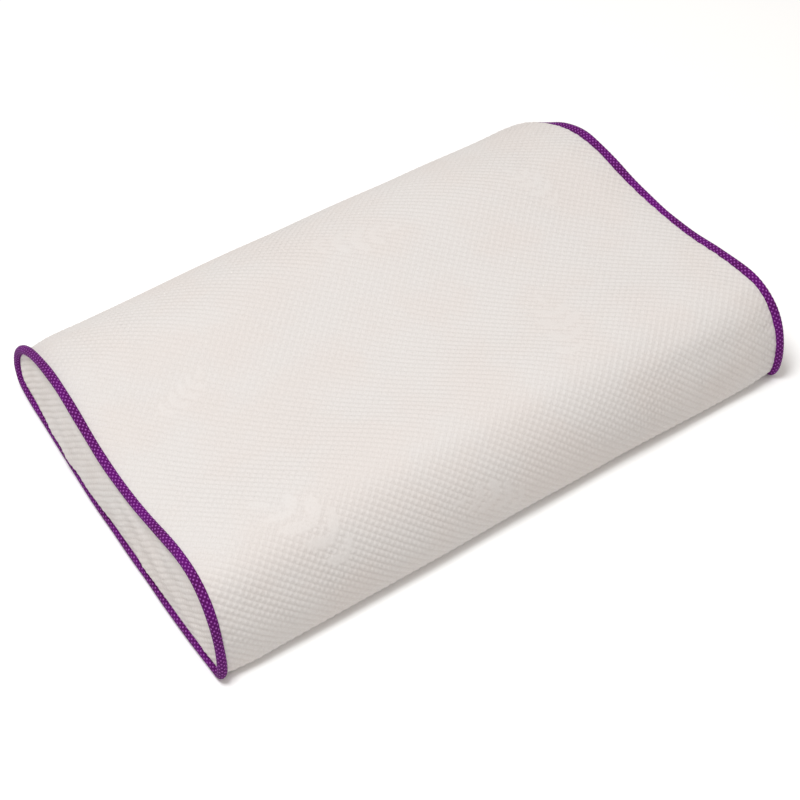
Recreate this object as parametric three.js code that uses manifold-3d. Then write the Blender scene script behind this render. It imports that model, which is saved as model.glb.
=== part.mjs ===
// Contour bed pillow with a zipped, piped cover. Millimetres, +Z up.
// X runs along the pillow, Y from the neck side (front) to the rear, Z = 0 is what it lies on.
// The origin is the middle of the overall box in X and Y, at its base.

import * as THREE from 'three';
import { mergeVertices } from 'three/addons/utils/BufferGeometryUtils.js';
import Module from 'manifold-3d';

const wasm = await Module();
wasm.setup();

// Overall sizes
const LENGTH = 600; // over both piped ends
const DEPTH = 398; // cover body, front to rear
const FRONT_HEIGHT = 102; // neck lobe
const VALLEY_HEIGHT = 82.5; // dip for the head
const REAR_HEIGHT = 92; // rear lobe

// Wave outline: where its crests, bellies and feet lie
const FRONT_FOOT_INSET = 12;
const FRONT_BELLY_Z = 24;
const FRONT_CREST_INSET = 54;
const VALLEY_INSET = 188;
const REAR_CREST_INSET = 106;
const REAR_BELLY_Z = 24;
const REAR_FOOT_INSET = 20;
const BEND_STEPS = 10; // facets in each bend of the outline

// Layers, from the outside in
const COVER_THICKNESS = 3;
const LINER_CLEARANCE = 3; // air between cover and liner, which also frees the zip slider
const LINER_THICKNESS = 0.8;
const FOAM_CLEARANCE = 0.4;
const FIT_GAP = 0.3; // between sewn neighbours

// Piped end seams
const PIPING_RADIUS = 4.3;
const PIPING_INSET = 1; // its centre line lies this far inside the cover's surface
const BINDING_THICKNESS = 0.8;
const SEAM_GAP = 1; // between the binding's two seam allowances
const SEAM_ALLOWANCE = 4;
const PANEL_RECESS = 2; // end panel behind the piping's outermost point

// Zip in the rear face, centred on the rear belly
const ZIP_OPENING = 510;
const ZIP_GAP = 9; // between the two cover edges
const TAPE_LENGTH = 530;
const TAPE_THICKNESS = 0.6;
const TAPE_WIDTH = 13;
const COIL_SPACING = 1.2; // between the two coils
const COIL_WIDTH = 2.2;
const COIL_HEIGHT = 1.5;
const COIL_LENGTH = 500;
const STOP_LENGTH = 2.8;
const STOP_OVERSIZE = 0.6; // how far a stop stands past its coil
const SLIDER_LENGTH = 10;
const SLIDER_PLATE = 1;
const SLIDER_FLANGE = 0.6;
const SLIDER_POST_LENGTH = 2.5;
const BRIDGE_LENGTH = 5;
const BRIDGE_WIDTH = 1.6;
const BRIDGE_WALL = 0.8;
const PULL_LENGTH = 22;
const PULL_WIDTH = 5;
const PULL_THICKNESS = 1.2;
const PULL_BAR = 1; // bar that turns under the bridge, along the pull
const PULL_SLOT_LENGTH = 4;
const RUNNING_GAP = 0.3; // round everything that moves

// Sewn-in label on the right end panel
const LABEL_WIDTH = 25;
const LABEL_DROP = 40;
const LABEL_THICKNESS = 1.2;
const LABEL_Y = 108;

const HALF_LENGTH = LENGTH / 2;
const ZIP_Z = REAR_BELLY_Z;

// ---------------------------------------------------------------- outline

// One quarter-turn or S of the wave, with level or upright tangents at both ends.
function bend(start, end, startUpright, endUpright, startReach, endReach) {
  const run = end.clone().sub(start);
  const first = start.clone();
  const second = end.clone();
  if (startUpright) first.y += run.y * startReach;
  else first.x += run.x * startReach;
  if (endUpright) second.y -= run.y * endReach;
  else second.x -= run.x * endReach;
  return new THREE.CubicBezierCurve(start, first, second, end);
}

// The cover's outer section in the YZ plane, anticlockwise seen from +X: underside, rear, top, front.
function coverOutline() {
  const front = -DEPTH / 2;
  const rear = DEPTH / 2;
  const frontFoot = new THREE.Vector2(front + FRONT_FOOT_INSET, 0);
  const frontBelly = new THREE.Vector2(front, FRONT_BELLY_Z);
  const frontCrest = new THREE.Vector2(front + FRONT_CREST_INSET, FRONT_HEIGHT);
  const valley = new THREE.Vector2(front + VALLEY_INSET, VALLEY_HEIGHT);
  const rearCrest = new THREE.Vector2(rear - REAR_CREST_INSET, REAR_HEIGHT);
  const rearBelly = new THREE.Vector2(rear, REAR_BELLY_Z);
  const rearFoot = new THREE.Vector2(rear - REAR_FOOT_INSET, 0);
  const path = new THREE.CurvePath();
  path.add(new THREE.LineCurve(frontFoot, rearFoot));
  path.add(bend(rearFoot, rearBelly, false, true, 0.75, 0.5));
  path.add(bend(rearBelly, rearCrest, true, false, 0.6, 0.35));
  path.add(bend(rearCrest, valley, false, false, 0.35, 0.48));
  path.add(bend(valley, frontCrest, false, false, 0.48, 0.32));
  path.add(bend(frontCrest, frontBelly, false, true, 0.75, 0.42));
  path.add(bend(frontBelly, frontFoot, true, false, 0.45, 0.8));
  return path.getPoints(BEND_STEPS).slice(0, -1);
}

function outwardNormals(points) {
  return points.map((point, i) => {
    const before = points[(i + points.length - 1) % points.length];
    const after = points[(i + 1) % points.length];
    const along = after.clone().sub(before).normalize();
    return new THREE.Vector2(along.y, -along.x);
  });
}

function distanceToOutline(point, points) {
  return Math.min(...points.map((start, i) => {
    const edge = points[(i + 1) % points.length].clone().sub(start);
    const offset = point.clone().sub(start);
    const share = THREE.MathUtils.clamp(offset.dot(edge) / edge.lengthSq(), 0, 1);
    return offset.sub(edge.multiplyScalar(share)).length();
  }));
}

// The outline moved inwards, without the points that a tight corner would fold over.
function inset(points, distance) {
  const normals = outwardNormals(points);
  const moved = points.map((point, i) => point.clone().addScaledVector(normals[i], -distance));
  return moved.filter((point) => distanceToOutline(point, points) > distance - 0.1);
}

const OUTER = coverOutline();

// ---------------------------------------------------------------- shape tools

// Section in the YZ plane, with optional hole, run along X between two places.
function alongX(section, fromX, toX, hole) {
  const shape = new THREE.Shape(section);
  if (hole) shape.holes.push(new THREE.Path(hole));
  const geometry = new THREE.ExtrudeGeometry(shape, {
    depth: toX - fromX, bevelEnabled: false, curveSegments: 1,
  });
  const turned = new THREE.Matrix4().makeBasis(
    new THREE.Vector3(0, 1, 0), new THREE.Vector3(0, 0, 1), new THREE.Vector3(1, 0, 0),
  );
  return geometry.applyMatrix4(turned).translate(fromX, 0, 0);
}

function block(x, y, z) {
  const geometry = new THREE.BoxGeometry(x[1] - x[0], y[1] - y[0], z[1] - z[0]);
  return geometry.translate((x[0] + x[1]) / 2, (y[0] + y[1]) / 2, (z[0] + z[1]) / 2);
}

function solid(geometry) {
  const bare = geometry.clone();
  bare.deleteAttribute('normal');
  bare.deleteAttribute('uv');
  const merged = mergeVertices(bare, 1e-4);
  return new wasm.Manifold(new wasm.Mesh({
    numProp: 3,
    vertProperties: new Float32Array(merged.attributes.position.array),
    triVerts: new Uint32Array(merged.index.array),
  }));
}

function geometryOf(manifold) {
  const mesh = manifold.getMesh();
  const geometry = new THREE.BufferGeometry();
  geometry.setAttribute('position', new THREE.BufferAttribute(mesh.vertProperties, 3));
  geometry.setIndex(new THREE.BufferAttribute(mesh.triVerts, 1));
  geometry.computeVertexNormals();
  return geometry;
}

function joined(...geometries) {
  return geometryOf(geometries.map(solid).reduce((whole, piece) => whole.add(piece)));
}

function cut(geometry, ...tools) {
  return geometryOf(tools.map(solid).reduce((whole, tool) => whole.subtract(tool), solid(geometry)));
}

// A closed ring: the section (x across, y outward) carried round a closed path in the YZ plane.
function ring(path, centreX, section) {
  const normals = outwardNormals(path);
  const positions = [];
  path.forEach((point, i) => section.forEach((corner) => {
    positions.push(centreX + corner.x);
    positions.push(point.x + normals[i].x * corner.y);
    positions.push(point.y + normals[i].y * corner.y);
  }));
  const index = [];
  path.forEach((_, i) => section.forEach((__, j) => {
    const nextI = (i + 1) % path.length;
    const nextJ = (j + 1) % section.length;
    const [a, b] = [i * section.length + j, nextI * section.length + j];
    const [c, d] = [nextI * section.length + nextJ, i * section.length + nextJ];
    index.push(a, b, c, a, c, d);
  }));
  const geometry = new THREE.BufferGeometry();
  geometry.setAttribute('position', new THREE.Float32BufferAttribute(positions, 3));
  geometry.setIndex(index);
  if (volume(geometry) < 0) geometry.setIndex(index.reverse());
  geometry.computeVertexNormals();
  return geometry;
}

function volume(geometry) {
  const [a, b, c] = [new THREE.Vector3(), new THREE.Vector3(), new THREE.Vector3()];
  let total = 0;
  for (let i = 0; i < geometry.index.count; i += 3) {
    a.fromBufferAttribute(geometry.attributes.position, geometry.index.getX(i));
    b.fromBufferAttribute(geometry.attributes.position, geometry.index.getX(i + 1));
    c.fromBufferAttribute(geometry.attributes.position, geometry.index.getX(i + 2));
    total += a.dot(b.cross(c)) / 6;
  }
  return total;
}

function arc(radius, fromAngle, toAngle, steps) {
  const points = [];
  for (let i = 0; i <= steps; i += 1) {
    const angle = THREE.MathUtils.lerp(fromAngle, toAngle, i / steps);
    points.push(new THREE.Vector2(radius * Math.cos(angle), radius * Math.sin(angle)));
  }
  return points;
}

function finish(name, geometry, color, roughness, metalness = 0) {
  const mesh = new THREE.Mesh(geometry, new THREE.MeshStandardMaterial({ color, roughness, metalness }));
  mesh.name = name;
  return mesh;
}

const KNIT = 0xe6e2de;
const PURPLE = 0x6e316b;
const WHITE_KNIT = 0xf2f1ee;
const FOAM = 0xf3ecd6;
const TAPE = 0xefedea;
const NYLON = 0xf4f2ef;
const NICKEL = 0xb9babd;

// ---------------------------------------------------------------- foam and liner

const LINER_INSET = COVER_THICKNESS + LINER_CLEARANCE;
const FOAM_INSET = LINER_INSET + LINER_THICKNESS + FOAM_CLEARANCE;
const SEAM_OUTER_X = HALF_LENGTH - PANEL_RECESS - COVER_THICKNESS - FIT_GAP;
const SEAM_INNER_X = SEAM_OUTER_X - 2 * BINDING_THICKNESS - SEAM_GAP;
const LINER_END_X = Math.min(SEAM_INNER_X, HALF_LENGTH - 2 * PIPING_RADIUS) - FIT_GAP;
const LINER_SLEEVE_X = LINER_END_X - LINER_THICKNESS - FIT_GAP;

function foamCore() {
  return alongX(inset(OUTER, FOAM_INSET), -LINER_SLEEVE_X, LINER_SLEEVE_X);
}

function linerSleeve() {
  const inner = inset(OUTER, LINER_INSET + LINER_THICKNESS);
  return alongX(inset(OUTER, LINER_INSET), -LINER_SLEEVE_X, LINER_SLEEVE_X, inner);
}

function linerEnd(side) {
  const inside = LINER_END_X - LINER_THICKNESS;
  const [from, to] = side > 0 ? [inside, LINER_END_X] : [-LINER_END_X, -inside];
  return alongX(inset(OUTER, LINER_INSET), from, to);
}

// ---------------------------------------------------------------- cover

const PIPING_CENTRE_X = HALF_LENGTH - PIPING_RADIUS;
const BODY_END_X = PIPING_CENTRE_X - PIPING_RADIUS - FIT_GAP;

// Quilted knit round top, front, underside and rear, with the zip's opening in the rear.
function coverBody() {
  const tube = alongX(OUTER, -BODY_END_X, BODY_END_X, inset(OUTER, COVER_THICKNESS));
  const opening = block(
    [-ZIP_OPENING / 2, ZIP_OPENING / 2],
    [DEPTH / 4, DEPTH],
    [ZIP_Z - ZIP_GAP / 2, ZIP_Z + ZIP_GAP / 2],
  );
  return cut(tube, opening);
}

function coverEnd(side) {
  const outline = inset(pipingPath(), PIPING_RADIUS + FIT_GAP);
  const outside = HALF_LENGTH - PANEL_RECESS;
  const inside = outside - COVER_THICKNESS;
  const [from, to] = side > 0 ? [inside, outside] : [-outside, -inside];
  return alongX(outline, from, to);
}

// Centre line of the piping: inside the cover's surface, and a radius above the bed.
function pipingPath() {
  return inset(OUTER, PIPING_INSET).map(
    (point) => new THREE.Vector2(point.x, Math.max(point.y, PIPING_RADIUS)),
  );
}

// Tube of binding, open along the seam, with its two seam allowances turned into the pillow.
function bindingSection(side) {
  const inner = PIPING_RADIUS - BINDING_THICKNESS;
  const outerLegX = SEAM_OUTER_X - PIPING_CENTRE_X;
  const innerLegX = SEAM_INNER_X - PIPING_CENTRE_X;
  const legEnd = -PIPING_RADIUS - SEAM_ALLOWANCE;
  const at = (radius, x) => -Math.acos(x / radius);
  const full = 2 * Math.PI;
  const outside = arc(PIPING_RADIUS, at(PIPING_RADIUS, outerLegX), at(PIPING_RADIUS, innerLegX) + full, 9);
  const mouth = [innerLegX + BINDING_THICKNESS, outerLegX - BINDING_THICKNESS];
  const inside = arc(inner, at(inner, mouth[0]) + full, at(inner, mouth[1]), 8);
  const legs = [
    new THREE.Vector2(innerLegX, legEnd),
    new THREE.Vector2(mouth[0], legEnd),
    ...inside,
    new THREE.Vector2(mouth[1], legEnd),
    new THREE.Vector2(outerLegX, legEnd),
  ];
  return [...outside, ...legs].map((corner) => new THREE.Vector2(side * corner.x, corner.y));
}

function binding(side) {
  return ring(pipingPath(), side * PIPING_CENTRE_X, bindingSection(side));
}

function bindingCord(side) {
  // Clear of the flats of the binding's inside, which is drawn in eight steps too
  const radius = (PIPING_RADIUS - BINDING_THICKNESS) * Math.cos(Math.PI / 8) - FIT_GAP;
  const section = arc(radius, 0, 2 * Math.PI, 8).slice(0, 8);
  return ring(pipingPath(), side * PIPING_CENTRE_X, section);
}

function careLabel() {
  const nearest = OUTER.filter((point) => point.y > VALLEY_HEIGHT / 2)
    .reduce((best, point) => (Math.abs(point.x - LABEL_Y) < Math.abs(best.x - LABEL_Y) ? point : best));
  const top = nearest.y - PIPING_INSET - 2 * PIPING_RADIUS;
  const back = HALF_LENGTH - PANEL_RECESS + FIT_GAP;
  return block(
    [back, back + LABEL_THICKNESS],
    [LABEL_Y - LABEL_WIDTH / 2, LABEL_Y + LABEL_WIDTH / 2],
    [top - LABEL_DROP, top],
  );
}

// ---------------------------------------------------------------- zip

// Heights of the zip's layers, measured outwards from the cover's surface at the rear belly.
const TAPE_FACE = -COVER_THICKNESS - FIT_GAP;
const COIL_BASE = TAPE_FACE + FIT_GAP;
const COIL_TOP = COIL_BASE + COIL_HEIGHT;
const COIL_OUTER = COIL_SPACING / 2 + COIL_WIDTH;
const TOP_PLATE_BASE = COIL_TOP + RUNNING_GAP;
const TOP_PLATE_TOP = TOP_PLATE_BASE + SLIDER_PLATE;
const LOWER_PLATE_TOP = TAPE_FACE - TAPE_THICKNESS - 3 * RUNNING_GAP;
const LOWER_PLATE_BASE = LOWER_PLATE_TOP - 0.7 * SLIDER_PLATE;
const SLIDER_HALF_WIDTH = COIL_OUTER + RUNNING_GAP + SLIDER_FLANGE;
const PULL_AXIS = Math.max(TOP_PLATE_TOP, 0) + RUNNING_GAP + PULL_THICKNESS / 2;
const BRIDGE_TOP = PULL_AXIS + PULL_THICKNESS / 2 + RUNNING_GAP + BRIDGE_WALL;
const SLIDER_X = -COIL_LENGTH / 2 + RUNNING_GAP + SLIDER_LENGTH / 2; // closed
const REAR = DEPTH / 2;

// Y of an outline's rear face at a given height.
function rearFace(outline, z) {
  const face = outline.filter((point) => point.x > DEPTH / 2 - REAR_CREST_INSET);
  const above = face.findIndex((point) => point.y >= z && point.x > REAR - REAR_FOOT_INSET);
  const [low, high] = [face[above - 1], face[above]];
  return THREE.MathUtils.mapLinear(z, low.y, high.y, low.x, high.x);
}

// A strip behind the cover that follows its rear face between two heights.
function zipTape(side) {
  const steps = 5;
  const near = ZIP_Z + side * (COIL_SPACING / 2 + RUNNING_GAP);
  const far = near + side * TAPE_WIDTH;
  const faces = [-TAPE_FACE, -TAPE_FACE + TAPE_THICKNESS].map((depth) => {
    const outline = inset(OUTER, depth);
    return Array.from({ length: steps + 1 }, (_, i) => {
      const z = THREE.MathUtils.lerp(near, far, i / steps);
      return new THREE.Vector2(rearFace(outline, z), z);
    });
  });
  return alongX([...faces[0], ...faces[1].reverse()], -TAPE_LENGTH / 2, TAPE_LENGTH / 2);
}

function zipCoil(side) {
  const middle = ZIP_Z + side * (COIL_SPACING + COIL_WIDTH) / 2;
  const section = arc(1, Math.PI / 8, Math.PI / 8 + 2 * Math.PI, 8).slice(0, 8).map((corner) => {
    const y = REAR + (COIL_BASE + COIL_TOP) / 2 + corner.x * COIL_HEIGHT / 2;
    return new THREE.Vector2(y, middle + corner.y * COIL_WIDTH / 2);
  });
  return alongX(section, -COIL_LENGTH / 2, COIL_LENGTH / 2);
}

function topStop(side) {
  const end = -COIL_LENGTH / 2 - FIT_GAP;
  const near = ZIP_Z + side * COIL_SPACING / 2;
  const far = ZIP_Z + side * (COIL_OUTER + STOP_OVERSIZE);
  return block(
    [end - STOP_LENGTH, end],
    [REAR + COIL_BASE, REAR + COIL_TOP + STOP_OVERSIZE],
    [Math.min(near, far), Math.max(near, far)],
  );
}

function bottomStop() {
  const start = COIL_LENGTH / 2 + FIT_GAP;
  const reach = COIL_OUTER + STOP_OVERSIZE;
  return block(
    [start, start + STOP_LENGTH],
    [REAR + COIL_BASE, REAR + COIL_TOP + STOP_OVERSIZE],
    [ZIP_Z - reach, ZIP_Z + reach],
  );
}

// Two plates round the coils, joined by a post between them, with a bridge for the pull.
function zipSlider() {
  const x = [SLIDER_X - SLIDER_LENGTH / 2, SLIDER_X + SLIDER_LENGTH / 2];
  const z = [ZIP_Z - SLIDER_HALF_WIDTH, ZIP_Z + SLIDER_HALF_WIDTH];
  const flangeBase = TAPE_FACE + 2 * RUNNING_GAP;
  const postHalf = COIL_SPACING / 2 - RUNNING_GAP;
  const topPlate = block(x, [REAR + TOP_PLATE_BASE, REAR + TOP_PLATE_TOP], z);
  const lowerPlate = block(x, [REAR + LOWER_PLATE_BASE, REAR + LOWER_PLATE_TOP], z);
  const flangeY = [REAR + flangeBase, REAR + TOP_PLATE_TOP];
  const lowFlange = block(x, flangeY, [z[0], z[0] + SLIDER_FLANGE]);
  const highFlange = block(x, flangeY, [z[1] - SLIDER_FLANGE, z[1]]);
  const post = block(
    [x[0], x[0] + SLIDER_POST_LENGTH],
    [REAR + LOWER_PLATE_BASE, REAR + TOP_PLATE_TOP],
    [ZIP_Z - postHalf, ZIP_Z + postHalf],
  );
  return joined(topPlate, lowerPlate, lowFlange, highFlange, post, sliderBridge());
}

function sliderBridge() {
  const x = [SLIDER_X - BRIDGE_LENGTH / 2, SLIDER_X + BRIDGE_LENGTH / 2];
  const z = [ZIP_Z - BRIDGE_WIDTH / 2, ZIP_Z + BRIDGE_WIDTH / 2];
  const arch = block(x, [REAR + TOP_PLATE_BASE, REAR + BRIDGE_TOP], z);
  const eye = block(
    [x[0] + BRIDGE_WALL, x[1] - BRIDGE_WALL],
    [REAR + TOP_PLATE_TOP, REAR + BRIDGE_TOP - BRIDGE_WALL],
    [z[0] - 1, z[1] + 1],
  );
  return cut(arch, eye);
}

// Flat tab with a bar that turns under the bridge. At rest it lies along the closed coils.
function zipPull() {
  const y = [REAR + PULL_AXIS - PULL_THICKNESS / 2, REAR + PULL_AXIS + PULL_THICKNESS / 2];
  const barEnd = SLIDER_X + PULL_BAR / 2;
  const slotHalf = BRIDGE_WIDTH / 2 + RUNNING_GAP;
  const tab = block(
    [SLIDER_X - PULL_BAR / 2, SLIDER_X - PULL_BAR / 2 + PULL_LENGTH],
    y,
    [ZIP_Z - PULL_WIDTH / 2, ZIP_Z + PULL_WIDTH / 2],
  );
  const slot = block(
    [barEnd, barEnd + PULL_SLOT_LENGTH],
    [y[0] - 1, y[1] + 1],
    [ZIP_Z - slotHalf, ZIP_Z + slotHalf],
  );
  return cut(tab, slot);
}

// ---------------------------------------------------------------- assembly

const pillow = new THREE.Group();

pillow.add(finish('foam_core', foamCore(), FOAM, 0.95));
pillow.add(finish('liner_sleeve', linerSleeve(), WHITE_KNIT, 0.9));
pillow.add(finish('cover_body', coverBody(), KNIT, 0.88));
pillow.add(finish('care_label', careLabel(), NYLON, 0.6));

for (const [side, end] of [[-1, 'left'], [1, 'right']]) {
  pillow.add(finish(`liner_end_${end}`, linerEnd(side), WHITE_KNIT, 0.9));
  pillow.add(finish(`cover_end_${end}`, coverEnd(side), KNIT, 0.88));
  pillow.add(finish(`binding_${end}`, binding(side), PURPLE, 0.7));
  pillow.add(finish(`binding_cord_${end}`, bindingCord(side), WHITE_KNIT, 0.9));
}

for (const [side, half] of [[1, 'upper'], [-1, 'lower']]) {
  pillow.add(finish(`zip_tape_${half}`, zipTape(side), TAPE, 0.85));
  pillow.add(finish(`zip_coil_${half}`, zipCoil(side), NYLON, 0.4));
  pillow.add(finish(`zip_stop_${half}`, topStop(side), NICKEL, 0.35, 0.9));
}
pillow.add(finish('zip_stop_end', bottomStop(), NICKEL, 0.35, 0.9));

const slider = new THREE.Group();
slider.add(finish('zip_slider', zipSlider(), NICKEL, 0.35, 0.9));
slider.add(finish('zip_pull', zipPull(), NICKEL, 0.35, 0.9));
pillow.add(slider);

export default pillow;
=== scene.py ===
"""Contour bed pillow: its fabric, bindings, zip and label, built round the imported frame.

Metres, +Z up. X runs along the pillow, Y from the neck lobe to the rear, Z = 0 is what it lies on.
Every new piece is a surface worked out with numpy on a grid of two parameters.
"""

import bpy
import numpy as np
from mathutils import Matrix, Vector


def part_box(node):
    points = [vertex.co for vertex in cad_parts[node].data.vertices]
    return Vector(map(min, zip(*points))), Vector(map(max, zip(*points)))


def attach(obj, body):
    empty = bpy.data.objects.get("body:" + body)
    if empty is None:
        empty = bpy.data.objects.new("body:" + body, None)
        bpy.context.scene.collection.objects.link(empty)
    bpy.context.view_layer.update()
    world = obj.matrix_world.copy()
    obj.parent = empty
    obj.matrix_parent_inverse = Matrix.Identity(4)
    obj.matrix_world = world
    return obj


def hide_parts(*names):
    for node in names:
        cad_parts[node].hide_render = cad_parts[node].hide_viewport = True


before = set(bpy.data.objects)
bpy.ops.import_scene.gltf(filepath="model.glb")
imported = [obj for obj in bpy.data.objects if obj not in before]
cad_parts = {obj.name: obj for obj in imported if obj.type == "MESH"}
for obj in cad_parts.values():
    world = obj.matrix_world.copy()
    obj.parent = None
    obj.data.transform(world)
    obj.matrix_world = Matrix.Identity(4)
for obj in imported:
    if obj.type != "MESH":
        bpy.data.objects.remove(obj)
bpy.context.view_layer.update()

MM = 0.001
TURN = 2 * np.pi

# ---- sizes read from the frame

COVER_LOW, COVER_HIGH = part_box("cover_body")
BINDING_LOW, BINDING_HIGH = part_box("binding_right")
PIPING_RADIUS = (BINDING_HIGH.x - BINDING_LOW.x) / 2
SEAM_X = (BINDING_HIGH.x + BINDING_LOW.x) / 2
FRONT_Y, REAR_Y, NECK_Z = COVER_LOW.y, COVER_HIGH.y, COVER_HIGH.z
COIL_LOW, COIL_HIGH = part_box("zip_coil_lower")[0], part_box("zip_coil_upper")[1]
ZIP_Z = (COIL_HIGH.z + COIL_LOW.z) / 2
SLIDER_LOW, SLIDER_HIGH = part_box("zip_slider")
LINER_LOW, LINER_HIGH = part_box("liner_sleeve")
FOAM_LOW, FOAM_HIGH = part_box("foam_core")
END_LOW, END_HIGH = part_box("liner_end_right")

# The wave's outline: insets from the front or the rear face, and heights
FRONT_FOOT_INSET = 12 * MM
FRONT_BELLY_Z = 24 * MM
FRONT_CREST_INSET = 54 * MM
VALLEY_INSET = 188 * MM
VALLEY_Z = NECK_Z - 19.5 * MM
REAR_CREST_INSET = 106 * MM
REAR_CREST_Z = NECK_Z - 10 * MM
REAR_FOOT_INSET = 20 * MM

COVER_THICKNESS = 3 * MM
ZIP_GAP = 9 * MM
ZIP_HALF = 255 * MM

# Fabric
FINE = 1.6 * MM  # spacing of the quilted surfaces' grid
COARSE = 4  # the wall's inner face has one point for this many
QUILT_PITCH = 8 * MM  # diagonal of one diamond
QUILT_DEPTH = 1.2 * MM
SHOULDER = 15 * MM  # over which the fabric rolls in to an end seam
SEAM_TUCK = 0.8 * MM  # the fabric's edge below the piping's middle
SWELL_GRID = 6.5 * MM  # spacing of the grid that the cloth is simulated on
SWELL_CAP = 6 * MM
CLOTH_FRAMES, CLOTH_PRESSURE, CLOTH_QUALITY = 20, 4, 4
SWELL_SHARE = 0.5  # of the simulated swell that the stuffed cover keeps

# ---- mesh tools


def add_object(name, data):
    """A new object in the scene."""
    made = bpy.data.objects.new(name, data)
    bpy.context.scene.collection.objects.link(made)
    return made


def make_mesh(name, points, *face_sets, uv=None, attribute=None):
    """A mesh object from arrays: points, sets of quads or triangles, and per-point UV and attribute."""
    points = np.asarray(points, float).reshape(-1, 3)
    mesh = bpy.data.meshes.new(name)
    corners = np.concatenate([faces.ravel() for faces in face_sets])
    sizes = np.concatenate([np.full(len(faces), faces.shape[1]) for faces in face_sets])
    mesh.vertices.add(len(points))
    mesh.vertices.foreach_set("co", points.astype(np.float32).ravel())
    mesh.loops.add(len(corners))
    mesh.loops.foreach_set("vertex_index", corners.astype(np.int32))
    mesh.polygons.add(len(sizes))
    starts = np.concatenate([[0], np.cumsum(sizes)[:-1]])
    mesh.polygons.foreach_set("loop_start", starts.astype(np.int32))
    mesh.polygons.foreach_set("use_smooth", np.ones(len(sizes), bool))
    mesh.update(calc_edges=True)
    if uv is not None:
        layer = mesh.uv_layers.new(name="cloth")
        layer.data.foreach_set("uv", np.asarray(uv, np.float32).reshape(-1, 2)[corners].ravel())
    if attribute is not None:
        layer = mesh.attributes.new("motif", "FLOAT", "POINT")
        layer.data.foreach_set("value", np.asarray(attribute, np.float32).ravel())
    return add_object(name, mesh)


def make_solid(name, points, *face_sets, **layers):
    """A mesh object of a closed surface, with its faces outwards."""
    return make_mesh(name, points, *outward(points, *face_sets), **layers)


def grid_faces(rows, columns, wrap_rows=False, wrap_columns=False, first=0):
    """Quads between neighbouring points of a rows by columns grid, joined round where it wraps."""
    i = np.arange(rows if wrap_rows else rows - 1)[:, None]
    j = np.arange(columns if wrap_columns else columns - 1)[None, :]
    below, beside = (i + 1) % rows, (j + 1) % columns
    corners = [i * columns + j, below * columns + j, below * columns + beside, i * columns + beside]
    return first + np.stack(corners, -1).reshape(-1, 4)


def border(rows, columns):
    """Indices round the edge of a grid: along the first row, down, back and up."""
    index = np.arange(rows * columns).reshape(rows, columns)
    sides = [index[0, :-1], index[:-1, -1], index[-1, :0:-1], index[:0:-1, 0]]
    return np.concatenate(sides)


def walled(outer, inner):
    """Closed wall between a fine outer grid and an inner grid that has every COARSE-th point.

    Returns the points and the face sets. The rim is a fan of triangles from each coarse
    edge point to the fine edge points beside it.
    """
    rows, columns = outer.shape[:2]
    first = rows * columns
    fine = border(rows, columns)
    coarse = first + border(*inner.shape[:2])
    ahead = np.roll(coarse, -1)
    steps = fine.reshape(-1, COARSE)
    nexts = np.roll(fine, -1).reshape(-1, COARSE)
    fans = np.stack([steps, nexts, np.broadcast_to(coarse[:, None], steps.shape)], -1)
    closing = np.stack([coarse, nexts[:, -1], ahead], -1)
    points = np.concatenate([outer.reshape(-1, 3), inner.reshape(-1, 3)])
    back = grid_faces(*inner.shape[:2], first=first)[:, ::-1]
    return points, (grid_faces(rows, columns), back, fans.reshape(-1, 3), closing)


def outward(points, *face_sets):
    """The same face sets, turned over if they enclose a negative volume."""
    points = np.asarray(points).reshape(-1, 3)
    total = 0.0
    for faces in face_sets:
        for k in range(1, faces.shape[1] - 1):
            a, b, c = points[faces[:, 0]], points[faces[:, k]], points[faces[:, k + 1]]
            total += float((a * np.cross(b, c)).sum())
    return face_sets if total > 0 else tuple(faces[:, ::-1] for faces in face_sets)


def steps_for(length, spacing):
    """A number of grid points that gives about this spacing and divides by COARSE."""
    return COARSE * int(round(length / spacing / COARSE)) + 1


def smooth(value):
    """Smoothstep of a value clipped to 0 to 1."""
    value = np.clip(value, 0, 1)
    return value * value * (3 - 2 * value)


def bell(value, middle, width):
    """1 at the middle, falling off on both sides as the exponential of minus the square."""
    return np.exp(-(((value - middle) / width) ** 2))


def power(value, exponent):
    """The value's size to a power, with the value's sign."""
    return np.sign(value) * np.abs(value) ** exponent


def rolled_in(distance, length):
    """From 0 at a length away from an end to 1 at the end, along a quarter ellipse."""
    return 1 - np.sqrt(1 - np.clip(1 - distance / length, 0, 1) ** 2)


def unit(vectors):
    """Rows of vectors, each made 1 long."""
    return vectors / np.linalg.norm(vectors, axis=1)[:, None]


def tube(path, across, upward, radius_across, radius_up, sides, closed=True):
    """Section of an ellipse carried along a path, from two side directions at each of its points. Each
    radius is a number, or a grid of one for each point."""
    angle = TURN * np.arange(sides) / sides
    offset = across[:, None] * (radius_across * np.cos(angle))[..., None]
    offset = offset + upward[:, None] * (radius_up * np.sin(angle))[..., None]
    return path[:, None] + offset, grid_faces(len(path), sides, wrap_rows=closed, wrap_columns=True)


def ribbon(name, points, uv=None):
    """Thin closed strip from a grid whose rows run along one face and back along the other. Quads close
    its two edges."""
    rows, columns = points.shape[:2]
    i = np.arange(rows // 2 - 1)
    quads = np.stack([i, i + 1, rows - 2 - i, rows - 1 - i], -1) * columns
    return make_solid(name, points, grid_faces(rows, columns, wrap_rows=True), quads[:, ::-1],
                      quads + columns - 1, uv=uv)


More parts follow.
